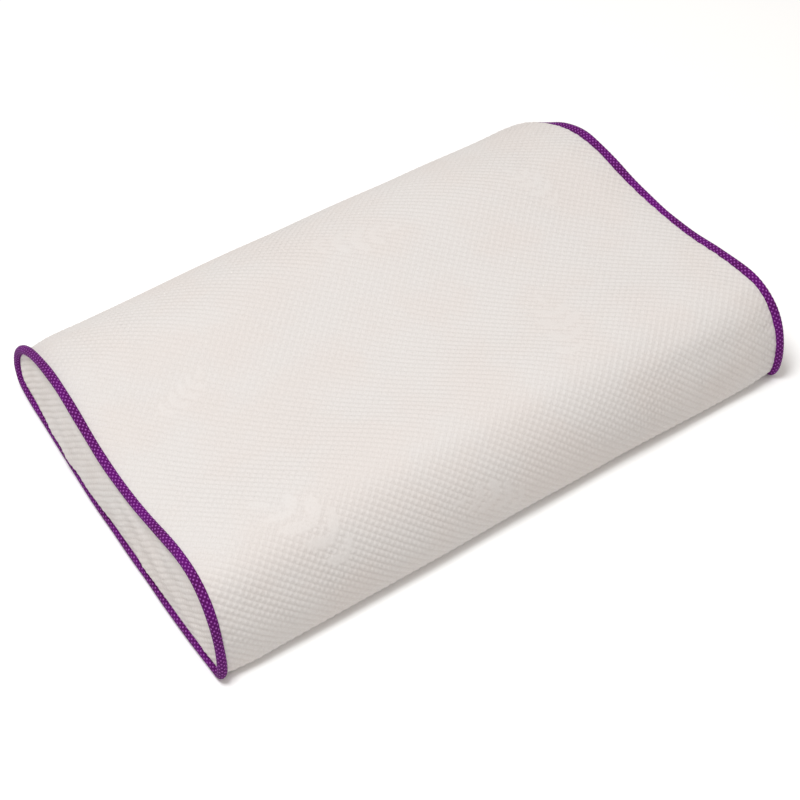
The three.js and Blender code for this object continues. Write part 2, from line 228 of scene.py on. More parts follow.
def capped(points, faces, rows, sides):
    """Closes an open tube with a fan at each end, round a new point at the end ring's middle."""
    grid = points.reshape(rows, sides, 3)
    flat = grid.reshape(-1, 3)
    middles = np.stack([grid[0].mean(0), grid[-1].mean(0)])
    ring = np.arange(sides)
    start = np.stack([np.full(sides, len(flat)), ring, (ring + 1) % sides], -1)
    last = (rows - 1) * sides
    end = np.stack([np.full(sides, len(flat) + 1), last + (ring + 1) % sides, last + ring], -1)
    return np.concatenate([flat, middles]), (faces, np.concatenate([start, end]))


# ---- the wave outline


def bend(start, end, start_handle, end_handle, count=400):
    """Cubic curve between two points, with a handle at each end given as an offset."""
    t = np.linspace(0, 1, count, endpoint=False)[:, None]
    start, end = np.array(start), np.array(end)
    first, second = start + np.array(start_handle), end + np.array(end_handle)
    return (1 - t) ** 3 * start + 3 * (1 - t) ** 2 * t * first + 3 * (1 - t) * t**2 * second + t**3 * end


def wave_outline():
    """Closed outline in the YZ plane. It starts at the rear belly, where the zip is, and runs down,
    forward under the pillow, up the front and back over the neck lobe, the dip and the rear lobe. The
    handles of its curves are shares of the distances beside them."""
    belly, foot = (REAR_Y, ZIP_Z), (REAR_Y - REAR_FOOT_INSET, 0)
    front_foot, front_belly = (FRONT_Y + FRONT_FOOT_INSET, 0), (FRONT_Y, FRONT_BELLY_Z)
    neck = (FRONT_Y + FRONT_CREST_INSET, NECK_Z)
    dip = (FRONT_Y + VALLEY_INSET, VALLEY_Z)
    rear = (REAR_Y - REAR_CREST_INSET, REAR_CREST_Z)
    to_dip, to_rear = dip[0] - neck[0], rear[0] - dip[0]
    rise, fall = NECK_Z - FRONT_BELLY_Z, REAR_CREST_Z - ZIP_Z
    parts = [
        bend(belly, foot, (0, -0.5 * ZIP_Z), (0.75 * REAR_FOOT_INSET, 0)),
        bend(foot, front_foot, (-1 * MM, 0), (1 * MM, 0), 1600),
        bend(front_foot, front_belly, (-0.8 * FRONT_FOOT_INSET, 0), (0, -0.45 * FRONT_BELLY_Z)),
        bend(front_belly, neck, (0, 0.42 * rise), (-0.75 * FRONT_CREST_INSET, 0)),
        bend(neck, dip, (0.32 * to_dip, 0), (-0.48 * to_dip, 0)),
        bend(dip, rear, (0.48 * to_rear, 0), (-0.35 * to_rear, 0)),
        bend(rear, belly, (0.35 * REAR_CREST_INSET, 0), (0, 0.6 * fall)),
    ]
    return np.concatenate(parts)


def circular_mean(values, span):
    """Running mean round the loop of its evenly spaced values, or points, over a length of it."""
    if values.ndim > 1:
        return np.stack([circular_mean(column, span) for column in values.T], -1)
    width = 2 * int(span / LOOP_STEP // 2) + 1
    padded = np.concatenate([values[-width:], values, values[:width]])
    summed = np.convolve(padded, np.ones(width) / width, mode="same")
    return summed[width:-width]


def evenly(outline, count):
    """The closed outline's points at even steps of its length, and its whole length."""
    closed = np.vstack([outline, outline[:1]])
    length = np.concatenate([[0], np.cumsum(np.linalg.norm(np.diff(closed, axis=0), axis=1))])
    at = np.linspace(0, length[-1], count, endpoint=False)
    return np.stack([np.interp(at, length, closed[:, k]) for k in (0, 1)], -1), length[-1]


LOOP_COUNT = 4096
LOOP, AROUND = evenly(wave_outline(), LOOP_COUNT)
LOOP_STEP = AROUND / LOOP_COUNT
ARC = np.arange(LOOP_COUNT) * LOOP_STEP
SLOPE = unit(np.roll(LOOP, -1, 0) - np.roll(LOOP, 1, 0))
FACING = unit(circular_mean(np.stack([-SLOPE[:, 1], SLOPE[:, 0]], -1), 4 * MM))

LEFT, RIGHT = -1, 1
# Shares of the way round the outline, from the zip, at which each end seam's place is given
SEAM_SHARES = (0.0, 0.045, 0.2, 0.38, 0.45, 0.5, 0.6, 0.68, 0.75, 0.82, 0.88, 0.94)
# How far the seam bows out past its plane, and how deep it lies in the fabric, in mm
BOW_MM = {
    LEFT: (-2, 2, 7.5, 7.5, 5, 3, -1.5, 0, 0.5, -1.8, -3.8, -4.8),
    RIGHT: (-3.5, 1, 9, 9, 7.5, 8, 1.5, 2, 3.2, 1.8, 1.2, -0.5),
}
SINK_MM = {
    LEFT: (3, 1, 1, 1, 1.5, 4, 4, 4, 4, 3.5, 3.6, 2),
    RIGHT: (9, 1, 1, 1, 0.5, 0, 2.4, 3, 4.6, 3.5, 7, 19),
}


def loop_table(shares, values, span):
    """Values given at shares of the way round, joined up and smoothed over a span."""
    return circular_mean(np.interp(ARC / AROUND, shares, values, period=1), span)


def seam_table(values):
    """Values in mm at the seam's shares, as a table of the loop in metres."""
    return loop_table(SEAM_SHARES, np.array(values) * MM, 45 * MM)


def seam_line(side):
    """An end seam's line: the outline moved in by its sink, and never lower than the piping's radius."""
    line = LOOP - seam_table(SINK_MM[side])[:, None] * FACING
    line[:, 1] = np.maximum(line[:, 1], PIPING_RADIUS)
    return circular_mean(line, 8 * MM)


# How far the rear lobe droops along X, and the share of the way round where it does
DROOP_X = (-296, -270, -200, -130, -60, 0, 70, 140, 200, 270, 296)
DROOP_MM = (6.5, 5.6, 2.6, 1.3, 0.9, 1.3, 2, 3, 5.2, 6.6, 7)
DROOP_SHARES = (0.0, 0.7, 0.8, 0.87, 0.965)
DROOP_WEIGHTS = (0, 0, 0.5, 1, 1)
DROOP_WEIGHT = loop_table(DROOP_SHARES, DROOP_WEIGHTS, 30 * MM)
# The front foot's bulge: where along X and how wide, its share of the way round and its spread there
BULGE_X, BULGE_WIDTH, BULGE = -120 * MM, 90 * MM, 2 * MM
BULGE_SHARE, BULGE_SPREAD = 0.46, 0.04


def broad_shape(x, s):
    """Slow unevenness of the stuffed pillow: the rear lobe's droop and a bulge of the front foot."""
    droop = np.interp(x, np.array(DROOP_X) * MM, np.array(DROOP_MM) * MM) * around(DROOP_WEIGHT, s)
    return BULGE * bell(s / AROUND, BULGE_SHARE, BULGE_SPREAD) * bell(x, BULGE_X, BULGE_WIDTH) - droop


SEAM_BOW = {side: seam_table(BOW_MM[side]) for side in (LEFT, RIGHT)}
SEAM_LINE = {side: seam_line(side) for side in (LEFT, RIGHT)}


def around(table, s):
    """A table of the loop's values, read at distances s from the zip round the outline."""
    return np.interp(s, ARC, table, period=AROUND)


def loop_at(table, s):
    """Points of the loop, read the same way."""
    return np.stack([around(table[:, 0], s), around(table[:, 1], s)], -1)


# ---- cloth simulation


def inflated(grid, name):
    """A grid of cloth after it is blown up for some frames with its edge pinned and no gravity."""
    rows, columns = grid.shape[:2]
    sheet = make_mesh(name, grid, grid_faces(rows, columns))
    pinned = sheet.vertex_groups.new(name="seams")
    pinned.add([int(i) for i in border(rows, columns)], 1.0, "REPLACE")
    cloth = sheet.modifiers.new("cloth", "CLOTH")
    settings = cloth.settings
    settings.vertex_group_mass = "seams"
    settings.use_pressure, settings.uniform_pressure_force = True, CLOTH_PRESSURE
    settings.effector_weights.gravity = 0
    settings.quality = CLOTH_QUALITY
    cloth.collision_settings.use_collision = False
    cloth.point_cache.frame_start, cloth.point_cache.frame_end = 1, CLOTH_FRAMES
    scene = bpy.context.scene
    for number in range(1, CLOTH_FRAMES + 1):
        scene.frame_set(number)
    moved = sheet.evaluated_get(bpy.context.evaluated_depsgraph_get()).to_mesh()
    points = np.empty(3 * rows * columns, np.float32)
    moved.vertices.foreach_get("co", points)
    scene.frame_set(1)
    bpy.data.objects.remove(sheet, do_unlink=True)
    return points.reshape(rows, columns, 3).astype(float)


def spline_weights(fine, coarse):
    """Catmull-Rom weights that read a row of coarse samples at fine, evenly spaced places."""
    at = np.linspace(0, coarse - 1, fine)
    whole = np.clip(np.floor(at).astype(int), 0, coarse - 2)
    t = at - whole
    weights = np.zeros((fine, coarse))
    terms = (
        -0.5 * t + t**2 - 0.5 * t**3,
        1 - 2.5 * t**2 + 1.5 * t**3,
        0.5 * t + 2 * t**2 - 1.5 * t**3,
        -0.5 * t**2 + 0.5 * t**3,
    )
    for k, term in enumerate(terms):
        np.add.at(weights, (np.arange(fine), np.clip(whole + k - 1, 0, coarse - 1)), term)
    return weights


def neighbourly(values):
    """Each value of a grid averaged with its neighbours along both directions."""
    for axis in (0, 1):
        padded = np.pad(values, [(1, 1) if k == axis else (0, 0) for k in (0, 1)], mode="edge")
        low, high = (np.take(padded, k + np.arange(values.shape[axis]), axis) for k in (0, 2))
        values = 0.25 * low + 0.5 * values + 0.25 * high
    return values


def resampled(values, rows, columns):
    """A coarse grid of values read on a finer or another grid."""
    return spline_weights(rows, values.shape[0]) @ values @ spline_weights(columns, values.shape[1]).T


# ---- fabric relief

# Leaf sprigs knitted into the cover: middle along X, distance from the neck crest towards the
# rear along the fabric, turn in degrees, and length of the stem
SPRIGS = (
    (-0.185, -0.020, 115, 0.105),
    (-0.205, 0.175, 20, 0.060),
    (0.120, 0.045, 70, 0.095),
    (0.020, 0.250, -20, 0.090),
    (0.215, 0.215, 100, 0.070),
    (-0.020, -0.080, 150, 0.080),
    (-0.120, -0.330, 40, 0.100),
    (0.140, -0.330, 120, 0.100),
)
LEAF_PAIRS, LEAF_LEAN = 4, np.radians(48)
NECK_ARC = ARC[np.argmax(LOOP[:, 1])]


def leaf(x, y, length, width):
    """1 inside a pointed leaf that starts at the origin and lies along x, falling to 0 at its edge."""
    share = np.clip(x / length, 0, 1)
    half = width * (4 * share * (1 - share)) ** 0.8
    return smooth((half - np.abs(y)) / (0.9 * MM) + 0.5) * (np.abs(x / length - 0.5) < 0.5)


def rotated(x, y, angle):
    """Coordinates along and beside a direction at an angle."""
    return x * np.cos(angle) + y * np.sin(angle), y * np.cos(angle) - x * np.sin(angle)


def sprigs(x, s):
    """How far each point of the fabric lies in a leaf sprig: a bent stem with paired leaves and one at
    its tip. Widths and places are shares of the stem's length."""
    total = np.zeros(np.broadcast(x, s).shape)
    for middle_x, middle_s, degrees, length in SPRIGS:
        right, up = x - middle_x, s - NECK_ARC - middle_s
        near = np.hypot(right, up) < 0.75 * length
        along, aside = rotated(right[near], up[near], np.radians(degrees))
        aside = aside - 0.35 * along**2 / length
        found = smooth((1.1 * MM - np.abs(aside)) / (0.8 * MM)) * (np.abs(along) < 0.5 * length)
        for k in range(LEAF_PAIRS + 1):
            root = length * (-0.4 + 0.8 * k / LEAF_PAIRS)
            size = 0.30 * length * (1 - 0.35 * abs(2 * k / LEAF_PAIRS - 0.9))
            for side in (-1, 1) if k < LEAF_PAIRS else (0,):
                at = rotated(along - root, aside, side * LEAF_LEAN)
                found = np.maximum(found, leaf(*at, size, 0.2 * size))
        total[near] = np.maximum(total[near], found)
    return total


def quilt(x, s):
    """Puffed diamonds between two families of diagonal channels: the product of two folded sines, each
    to a power below one. The second's is lower, so its channels are narrower. From 0 in a channel to 1."""
    first = np.abs(np.sin(np.pi * (x + s) / QUILT_PITCH))
    second = np.abs(np.sin(np.pi * (x - s) / QUILT_PITCH))
    return first**0.95 * second**0.5


def waves(x, s, seed, count, shortest, longest):
    """Soft unevenness: a few sine waves of seeded direction, phase and length, scaled to about 1."""
    random = np.random.default_rng(seed)
    total = 0
    for _ in range(count):
        heading, phase = random.uniform(0, TURN, 2)
        length = random.uniform(shortest, longest)
        total = total + np.sin(TURN * (x * np.cos(heading) + s * np.sin(heading)) / length + phase)
    return total / np.sqrt(count)


# ---- cover wrap

SEWN_GAP = 0.3 * MM  # half the gap of the seam past the zip's ends
BOW_FROM = 0.6  # share of the half length from which the strip follows the seam's bow
MOTIF_FLAT, MOTIF_RISE = 0.75, 0.15 * MM  # how much a motif flattens the quilting, and its own height
UNEVEN, UNEVEN_DROP = 0.4 * MM, 0.3 * MM
PUCKER, PUCKER_REACH = 0.55 * MM, 9 * MM  # folds along an end seam
ZIP_PUCKER, ZIP_PUCKER_REACH = 0.2 * MM, 8 * MM  # folds along the zip
HEM, HEM_WIDTH, HEM_EDGE = 1.6 * MM, 5 * MM, 1.2 * MM  # how the zip edges sink, and their last step
LINING_INSET = 1.5 * MM  # of the wall's inner face at each end


def zip_half_gap(x):
    """Half the gap between the cover's two edges: the zip's opening, closing to a sewn seam past it."""
    ends = smooth((ZIP_HALF + 4 * MM - np.abs(x)) / (12 * MM))
    return SEWN_GAP + (ZIP_GAP / 2 - SEWN_GAP) * ends


def wrap_points(rows, columns, depth=0.0, swell=None):
    """The cover's long strip. Rows run round the wave from one zip edge to the other, columns along X.

    A point is the outline's point moved out by the lift, which adds quilting, unevenness, puckers and
    the simulated swell, and takes off the hems. Towards an end seam the strip rolls in to the seam's
    line along a quarter ellipse. depth moves the whole strip inwards, without the quilting.
    """
    across = np.linspace(-1, 1, columns)[None, :]
    share = np.linspace(0, 1, rows)[:, None]
    gap = zip_half_gap(SEAM_X * across)
    s = gap + (AROUND - 2 * gap) * share
    bow = np.where(across < 0, around(SEAM_BOW[LEFT], s), around(SEAM_BOW[RIGHT], s))
    x = SEAM_X * across + bow * np.sign(across) * smooth((np.abs(across) - BOW_FROM) / (1 - BOW_FROM))
    to_seam = SEAM_X + bow - np.abs(x)
    to_zip = np.minimum(s - gap, AROUND - gap - s)
    motif = sprigs(x, s)
    kept = smooth((to_seam - 1.5 * MM) / (5 * MM)) * smooth(to_zip / (6 * MM))
    lift = QUILT_DEPTH * (quilt(x, s) - 0.5) * (1 - MOTIF_FLAT * motif) * kept
    lift = lift + MOTIF_RISE * motif * kept
    lift = lift + UNEVEN * waves(x, s, 11, 7, 0.05, 0.16) - UNEVEN_DROP
    pucker = PUCKER * waves(0 * x, s, 5, 5, 0.009, 0.024) * np.exp(-to_seam / PUCKER_REACH)
    lift = lift + pucker * smooth(to_seam / (4 * MM))
    lift = lift + ZIP_PUCKER * waves(x, 0 * s, 6, 4, 0.012, 0.03) * np.exp(-to_zip / ZIP_PUCKER_REACH)
    lift = lift - HEM * smooth(1 - to_zip / HEM_WIDTH) - HEM_EDGE * (to_zip < 0.1 * MM)
    if depth:
        lift = np.full(lift.shape, -depth)
    if swell is not None:
        lift = lift + resampled(swell, rows, columns)
    lift = lift + broad_shape(x, s)
    outline = loop_at(LOOP, s) + lift[..., None] * loop_at(FACING, s)
    ends = np.where((across < 0)[..., None], loop_at(SEAM_LINE[LEFT], s), loop_at(SEAM_LINE[RIGHT], s))
    seam = ends - SEAM_TUCK * loop_at(FACING, s)
    section = outline + rolled_in(to_seam, SHOULDER)[..., None] * (seam - outline)
    section[..., 1] = np.maximum(section[..., 1], depth)
    if depth:
        x = x * (1 - LINING_INSET / SEAM_X)
    points = np.concatenate([x[..., None], section], -1)
    return points, np.stack([x, s], -1), motif * kept


def wrap_swell():
    """How far the simulated strip stands off its outline, less its middle part's mean in each row."""
    rows, columns = int((AROUND - ZIP_GAP) / SWELL_GRID), int(2 * SEAM_X / SWELL_GRID)
    rest, plane, _ = wrap_points(rows, columns)
    moved = inflated(rest, "cover_swell") - rest
    facing = loop_at(FACING, plane[..., 1])
    out = np.clip((moved[..., 1:] * facing).sum(-1), -SWELL_CAP, SWELL_CAP)
    for _ in range(2):
        out = neighbourly(out)
    middle = out[:, columns // 6 : -columns // 6].mean(1, keepdims=True)
    fade = smooth((1 - np.abs(np.linspace(-1, 1, columns))) / 0.12)[None, :]
    return SWELL_SHARE * (out - middle * fade)


def quilted_wall(name, shape, rows, columns):
    """Closed wall of the cover's fabric. shape gives the points, the cloth plane and the motif of a grid
    of some rows and columns at some depth."""
    grids = shape(rows, columns, 0.0), shape(rows // COARSE + 1, columns // COARSE + 1, COVER_THICKNESS)
    points, faces = walled(grids[0][0], grids[1][0])
    uv = np.concatenate([grid[1].reshape(-1, 2) for grid in grids])
    motif = np.concatenate([grid[2].ravel() for grid in grids])
    return make_solid(name, points, *faces, uv=uv, attribute=motif)


def cover_wrap():
    """Quilted strip round the whole wave, with its zip edges turned in."""
    swell = wrap_swell()
    rows, columns = steps_for(AROUND - ZIP_GAP, FINE), steps_for(2 * SEAM_X, FINE)
    return quilted_wall("quilted_cover", lambda *grid: wrap_points(*grid, swell), rows, columns)


# ---- end panels

PANEL_PUFF_Y = (-199, -120, -30, 50, 120, 165, 199)  # from the front to the rear
PANEL_PUFF_MM = (3, 4.2, 5.5, 6.5, 5.0, 3.0, 2.0)
PANEL_RISE = 14 * MM  # distance from the seam over which most of the puff is reached
PANEL_TUCK = 1 * MM
PANEL_SAG = 3.2 * MM  # how far the panel bellies over the lower seam, round PANEL_SAG_AT
PANEL_SAG_AT, PANEL_SAG_SIZE = (70 * MM, 17 * MM), (60 * MM, 12 * MM)
PANEL_UNEVEN = 0.9 * MM


def panel_points(rows, columns, side, depth=0.0, swell=None):
    """An end panel: columns run from the front to the rear, rows from the lower seam to the upper.

    It starts in the piping all round and swells out by the puff times one minus the exponential of
    its distance from the seam, with quilting and unevenness on top.
    """
    line, bow = SEAM_LINE[side], SEAM_BOW[side]
    front, rear = np.argmin(line[:, 0]), np.argmax(line[:, 0])
    order = np.roll(np.arange(LOOP_COUNT), -rear)
    split = (front - rear) % LOOP_COUNT
    lower, upper = order[: split + 1][::-1], np.append(order[split:], order[0])
    swing = 0.5 - 0.5 * np.cos(np.pi * np.linspace(0, 1, columns))
    y = line[front, 0] + (line[rear, 0] - line[front, 0]) * swing
    (low_z, low_bow), (top_z, top_bow) = (
        [np.interp(y, line[half, 0], table[half]) for table in (line[:, 1], bow)] for half in (lower, upper)
    )
    share = np.linspace(0, 1, rows)[:, None]
    z = low_z + (top_z - low_z) * share
    y = np.broadcast_to(y, z.shape)
    out = low_bow + (top_bow - low_bow) * share
    near = line[::8]
    to_seam = np.min(np.hypot(y[..., None] - near[:, 0], z[..., None] - near[:, 1]), -1)
    kept = smooth((to_seam - PIPING_RADIUS) / (6 * MM))
    puff = np.interp(y, np.array(PANEL_PUFF_Y) * MM, np.array(PANEL_PUFF_MM) * MM)
    out = out + puff * (1 - np.exp(-to_seam / PANEL_RISE)) - PANEL_TUCK
    sag_y, sag_z = (bell(value, *at) for value, at in zip((y, z), zip(PANEL_SAG_AT, PANEL_SAG_SIZE)))
    out = out + PANEL_SAG * sag_y * sag_z * smooth(to_seam / (9 * MM))
    out = out + PANEL_UNEVEN * waves(y, z, 21 + side, 6, 0.03, 0.09) * kept
    if depth:
        out = out - depth
    else:
        out = out + QUILT_DEPTH * (quilt(y, z) - 0.5) * kept
    if swell is not None:
        out = out + resampled(swell, rows, columns)
    return np.stack([side * (SEAM_X + out), y, z], -1), np.stack([y, z], -1), 0 * z


def panel_swell(side):
    """How far a simulated end panel stands off its own shape."""
    rows, columns = 14, 56
    rest = panel_points(rows, columns, side)[0]
    ordered = rest if side < 0 else rest[:, ::-1]
    moved = inflated(ordered, "panel_swell") - ordered
    out = side * (moved if side < 0 else moved[:, ::-1])[..., 0]
    return np.clip(out, -SWELL_CAP, SWELL_CAP) * SWELL_SHARE


def end_panel(side, name):
    """Quilted end panel."""
    swell = panel_swell(side)
    rows, columns = steps_for(90 * MM, FINE), steps_for(REAR_Y - FRONT_Y, FINE)
    return quilted_wall(name, lambda m, n, depth: panel_points(m, n, side, depth, swell), rows, columns)


# ---- liner and foam

END_ROUND, END_ROLL = 14 * MM, 8 * MM  # length and depth of the stuffing's rounded ends
STUFFING_FLAT = 0.1  # share of the way round, on both sides of the front foot, that stays unbulged


def stuffing(name, x, depth, hollow=False):
    """Surface lofted along X, of the outline with the cover's droop: at each place it lies in by a depth,
    and deeper along a quarter ellipse near the ends. Its ends are flat, or joined up if it is hollow."""
    count = steps_for(AROUND, 4 * MM)
    s = (np.arange(count) * AROUND / count)[None, :]
    x, depth = (np.asarray(value, float)[:, None] for value in (x, depth))
    lift = broad_shape(x, s) * (np.abs(s / AROUND - 0.5) > STUFFING_FLAT) - depth
    lift = lift - END_ROLL * rolled_in(END_HIGH.x - np.abs(x), END_ROUND)
    section = loop_at(LOOP, s) + lift[..., None] * loop_at(FACING, s)
    points = np.concatenate([np.broadcast_to(x[..., None], (*lift.shape, 1)), section], -1)
    faces = grid_faces(len(x), count, hollow, True)
    if hollow:
        return make_solid(name, points, faces)
    points, faces = capped(points, faces, len(x), count)
    return make_solid(name, points, *faces)


def stations(half):
    """Places along X from one end to the other, closer together near the ends."""
    return half * np.sin(np.linspace(-np.pi / 2, np.pi / 2, 90))


def liner_sleeve():
    """Liner tube round the foam, open at both ends."""
    x = stations(LINER_HIGH.x)
    depth = np.repeat((LINER_LOW.z, FOAM_LOW.z - 0.1 * MM), len(x))
    return stuffing("soft_liner", np.append(x, x[::-1]), depth, hollow=True)


def liner_end(side, name):
    """Flat liner piece across one end of the foam."""
    return stuffing(name, (side * END_LOW.x, side * END_HIGH.x), (LINER_LOW.z, LINER_LOW.z))


def foam_block():
    """Foam block with rounded ends."""
    x = stations(FOAM_HIGH.x)
    return stuffing("slow_foam", x, np.full(len(x), FOAM_LOW.z))


# ---- mesh binding

MESH_PITCH = 4.8 * MM  # along the piping, from dot to dot
MESH_ROWS = 12  # dot rows round the piping
MESH_STEP, MESH_SIDES = 0.62 * MM, 44  # of the piping's grid
DOT_RISE, DOT_BASE = 0.18 * MM, 0.15 * MM
PIPING_UNEVEN = 0.14 * MM
CORD_RADIUS = 3.1 * MM


def seam_path(side, count):
    """An end seam's line in space at even steps, with its outward direction and the one across it."""
    s = np.linspace(0, AROUND, count, endpoint=False)
    line = loop_at(SEAM_LINE[side], s)
    path = np.stack([side * (SEAM_X + around(SEAM_BOW[side], s)), line[:, 0], line[:, 1]], -1)
    ahead = unit(np.roll(path, -1, 0) - np.roll(path, 1, 0))
    facing = loop_at(FACING, s)
    across = unit(np.cross(ahead, np.stack([0 * s, facing[:, 0], facing[:, 1]], -1)))
    return s, path, across, np.cross(across, ahead)


def binding_tube(side, name):
    """Piping tube along the end seam's line. Its skin has staggered raised dots: the product of a
    cosine along it and one round it."""
    s, path, across, upward = seam_path(side, int(AROUND / MESH_STEP))
    angle = TURN * np.arange(MESH_SIDES) / MESH_SIDES
    pitch = AROUND / round(AROUND / MESH_PITCH)
    dots = np.cos(TURN * s / pitch)[:, None] * np.cos(MESH_ROWS / 2 * angle)[None, :]
    radius = PIPING_RADIUS + DOT_RISE * smooth(dots * 1.4) - DOT_BASE
    radius = radius + PIPING_UNEVEN * waves(s, 0 * s, 31 + side, 5, 0.02, 0.07)[:, None]
    points, faces = tube(path, across, upward, radius, radius, MESH_SIDES)
    points[..., 2] = np.maximum(points[..., 2], 0.0)
    uv = np.stack(np.broadcast_arrays((s / pitch)[:, None], (MESH_ROWS / 2 * angle / TURN)[None, :]), -1)
    return make_solid(name, points, faces, uv=uv)


def filler_cord(side, name):
    """Round cord inside the piping."""
    _, path, across, upward = seam_path(side, 400)
    return make_solid(name, *tube(path, across, upward, CORD_RADIUS, CORD_RADIUS, 12))


# ---- zip

COIL_PITCH = 1.5 * MM
FILAMENT = 0.26 * MM, 0.3 * MM  # half thicknesses of the coil's filament
COIL_OVERLAP = 0.45 * MM  # how far a coil's loops reach past the zip's middle
TAPE_THICKNESS, TAPE_RIPPLE, TAPE_RIPPLE_LENGTH = 0.6 * MM, 0.08 * MM, 21 * MM
SLOT_BAR, SLOT, SLOT_HALF_Z = 1.0 * MM, 4.0 * MM, 1.15 * MM  # the pull's end bar and its slot
STITCH_PITCH, STITCH, STITCH_POINTS = 3.4 * MM, 2.7 * MM, 7
STITCH_SINK, STITCH_RISE = 1.15 * MM, 0.55 * MM


def middle_and_half(node):
    """The middle and the half size of a node's box."""
    low, high = (np.array(corner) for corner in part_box(node))
    return (low + high) / 2, (high - low) / 2


def rear_y(z, depth):
    """Y of the rear face, moved in by a depth, at heights z near the zip."""
    s = np.concatenate([np.linspace(-60 * MM, 0, 200), np.linspace(0, 24 * MM, 100)[1:]])
    face = loop_at(LOOP, s) - depth * loop_at(FACING, s)
    order = np.argsort(face[:, 1])
    return np.interp(z, face[order, 1], face[order, 0])


def zip_tape(node, name):
    """Woven tape behind the cover's edges: a thin closed strip that follows the rear face, with a
    slight ripple along its length."""
    low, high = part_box(node)
    rows, columns = 17, 401
    z = np.linspace(low.z, high.z, rows)[:, None]
    x = np.linspace(low.x, high.x, columns)[None, :]
    ripple = TAPE_RIPPLE * np.sin(TURN * x / TAPE_RIPPLE_LENGTH)
    depth = COVER_THICKNESS + 0.3 * MM
    faces = (rear_y(z, at) + ripple for at in (depth, depth + TAPE_THICKNESS))
    outer, inner = (np.stack(np.broadcast_arrays(x, y, z), -1) for y in faces)
    points = np.concatenate([outer, inner[::-1]])
    return ribbon(name, points, points[..., [0, 2]])


def zip_coil(node, name, side):
    """Nylon coil: a fine filament wound in a flat helix whose loops reach over the zip's middle, so
    that the two coils' loops lie between each other."""
    low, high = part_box(node)
    turns = int((high.x - low.x) / COIL_PITCH)
    steps = 14
    t = np.linspace(0, turns, turns * steps + 1)
    middle_y, half_y = (low.y + high.y) / 2, (high.y - low.y) / 2 - 0.22 * MM
    near, far = ZIP_Z - side * COIL_OVERLAP, (high.z if side > 0 else low.z) - side * 0.25 * MM
    middle_z, half_z = (near + far) / 2, abs(far - near) / 2
    start = low.x + (0 if side > 0 else COIL_PITCH / 2)
    turn = TURN * t
    path = np.stack([start + COIL_PITCH * t * 0.998, middle_y + half_y * np.sin(turn),
                     middle_z - side * half_z * power(np.cos(turn), 0.7)], -1)
    ahead = unit(np.gradient(path, axis=0))
    across = unit(np.cross(ahead, [1.0, 0, 0]))
    points, faces = tube(path, across, np.cross(across, ahead), *FILAMENT, 6, closed=False)
    points, faces = capped(points, faces, len(path), 6)
    return make_solid(name, points, *faces)


def rounded_slab(centre, half, flat=0.35, edge=0.6, rows=24, columns=48):
    """Superellipsoid: a box with every edge rounded. flat rounds its plan and edge its thickness."""
    up = np.linspace(-np.pi / 2, np.pi / 2, rows)[:, None]
    turn = TURN * np.arange(columns)[None, :] / columns
    x = power(np.cos(up), edge) * power(np.cos(turn), flat)
    z = power(np.cos(up), edge) * power(np.sin(turn), flat)
    y = power(np.sin(up), edge) + 0 * turn
    grid = np.stack([x * half[0], y * half[1], z * half[2]], -1) + np.array(centre)
    body = grid[1:-1]
    points = np.concatenate([body.reshape(-1, 3), grid[0, :1], grid[-1, :1]])
    ring = np.arange(columns)
    pole, last = (rows - 2) * columns, (rows - 3) * columns
    bottom = np.stack([np.full(columns, pole), ring, (ring + 1) % columns], -1)
    top = np.stack([np.full(columns, pole + 1), last + (ring + 1) % columns, last + ring], -1)
    return points, (grid_faces(rows - 2, columns, wrap_columns=True), np.concatenate([bottom, top]))


def merged(name, *shapes):
    """One mesh of several closed shapes, each given as points and face sets."""
    points, faces, first = [], [], 0
    for shape_points, face_sets in shapes:
        turned = outward(shape_points, *face_sets)
        faces += [f + first for f in turned]
        points.append(np.asarray(shape_points).reshape(-1, 3))
        first += len(points[-1])
    return make_mesh(name, np.concatenate(points), *faces)


def zip_slider():
    """Die-cast slider: a crowned top plate and a lower plate with side flanges, the wedge between the
    coils, and the bridge that holds the pull."""
    (x, _, _), (half_x, _, half_z) = middle_and_half("zip_slider")
    coil_top = COIL_HIGH.y
    top_y, top_half = coil_top + 0.8 * MM, 0.5 * MM
    base_y = SLIDER_LOW.y + 0.35 * MM
    shapes = [
        rounded_slab((x, top_y, ZIP_Z), (half_x, top_half, half_z), 0.45, 0.5),
        rounded_slab((x, base_y, ZIP_Z), (half_x, 0.35 * MM, half_z), 0.45, 0.5),
        rounded_slab((SLIDER_LOW.x + 1.25 * MM, (top_y + base_y) / 2, ZIP_Z),
                     (1.2 * MM, (top_y - base_y) / 2, 0.3 * MM), 0.5, 0.2),
    ]
    for side in (-1, 1):
        shapes.append(rounded_slab((x, coil_top - 0.35 * MM, ZIP_Z + side * (half_z - 0.3 * MM)),
                                   (0.84 * half_x, 1.2 * MM, 0.3 * MM), 0.3, 0.3))
    shapes.append(bridge(x, top_y + 0.2 * MM))
    return merged("cast_slider", *shapes)


def bridge(x, base):
    """Arched strap over the slider: a flattened tube along half of a rounded arch."""
    steps, sides = 25, 16
    t = np.linspace(-1, 1, steps)
    rise = SLIDER_HIGH.y - 0.4 * MM - base
    path = np.stack([x + 2.1 * MM * power(t, 0.6),
                     base + rise * (1 - np.abs(t) ** 4) ** 0.8, ZIP_Z + 0 * t], -1)
    across = np.tile([0.0, 0, 1.0], (steps, 1))
    upward = np.cross(unit(np.gradient(path, axis=0)), across)
    return capped(*tube(path, across, upward, 0.8 * MM, 0.38 * MM, sides, closed=False), steps, sides)


